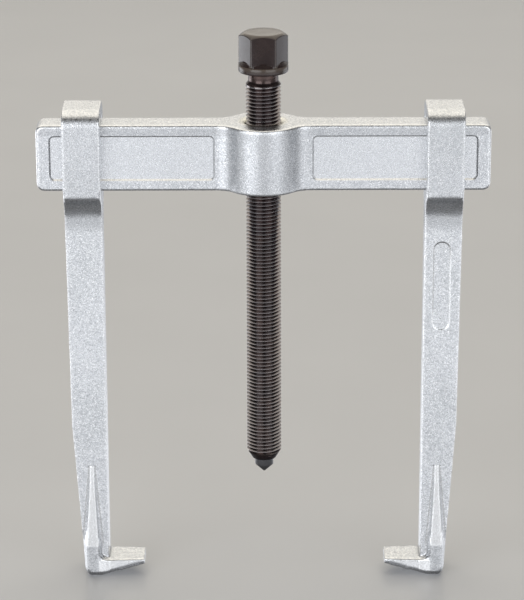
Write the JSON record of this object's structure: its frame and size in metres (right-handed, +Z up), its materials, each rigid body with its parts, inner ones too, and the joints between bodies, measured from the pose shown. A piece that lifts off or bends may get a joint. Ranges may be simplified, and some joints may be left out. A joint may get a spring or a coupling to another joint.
{
  "type": "gear puller",
  "caption": "Two-arm puller with hooked arms that slide on a crossbeam, and a hex-headed forcing screw with a live centre through its middle.",
  "frame": {"origin": "on the ground under the middle of the tool, standing on its two hooks", "axes": "+X along the crossbeam towards the right arm, +Y to the back, +Z up along the spindle to its head"},
  "size_m": [0.18, 0.031, 0.2288],
  "materials": {
    "zinc_steel": "shot-blasted forging, bright zinc plated",
    "zinc_steel_arm": "shot-blasted forging, bright zinc plated",
    "dark_steel": "dark brown phosphated and oiled",
    "black_steel": "hardened, black oxide",
    "bright_steel": "ground, bright"
  },
  "bodies": {
    "beam": {"crossbeam": "zinc_steel"},
    "left_arm": {"left_arm": "zinc_steel_arm"},
    "right_arm": {"right_arm": "zinc_steel_arm"},
    "centre": {"centre_point": "black_steel"},
    "spindle": {"spindle": "dark_steel", "thrust_ball": "bright_steel", "retaining_ring": "bright_steel"}
  },
  "joints": [
    {"name": "left_arm_slide", "type": "slide", "parent": "beam", "child": "left_arm", "axis": [1, 0, 0], "range_m": [-0.0105, 0.0415]},
    {"name": "right_arm_slide", "type": "slide", "parent": "beam", "child": "right_arm", "axis": [-1, 0, 0], "range_m": [-0.0105, 0.0415]},
    {"name": "spindle_travel", "type": "slide", "parent": "beam", "child": "centre", "axis": [0, 0, 1], "range_m": [-0.0202, 0.1095]},
    {"name": "spindle_turn", "type": "hinge", "parent": "centre", "child": "spindle", "pos_m": [0, 0, 0.05], "axis": [0, 0, 1], "range_deg": [-4849, 26281]}
  ],
  "couplings": [
    {"joint": "spindle_turn", "follows": "spindle_travel", "rad_per_m": 4188.8}
  ]
}
